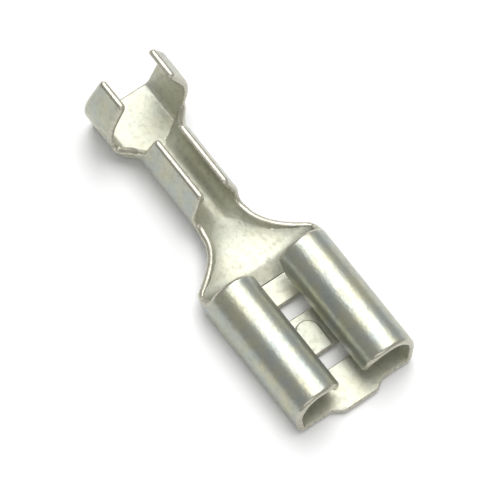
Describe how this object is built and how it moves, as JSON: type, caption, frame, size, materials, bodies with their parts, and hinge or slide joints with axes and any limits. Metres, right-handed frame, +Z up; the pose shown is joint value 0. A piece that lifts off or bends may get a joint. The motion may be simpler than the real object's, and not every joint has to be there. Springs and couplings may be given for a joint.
{
  "type": "quick disconnect terminal",
  "caption": "bare female quick disconnect terminal folded from tin-plated sheet: rolled tab receptacle with a spring bridge, dished throat, and open wire and insulation crimp barrels",
  "frame": {"origin": "on the resting plane, under the middle of the overall length and width", "axes": "+X along the terminal towards the mouth that takes the tab, +Y across it, +Z up out of the open side of the folds"},
  "size_m": [0.0168, 0.006, 0.0038],
  "materials": {
    "tin_plate": "bright tin plating on brass sheet, satin"
  },
  "bodies": {
    "root": {"terminal": "tin_plate"}
  },
  "joints": []
}
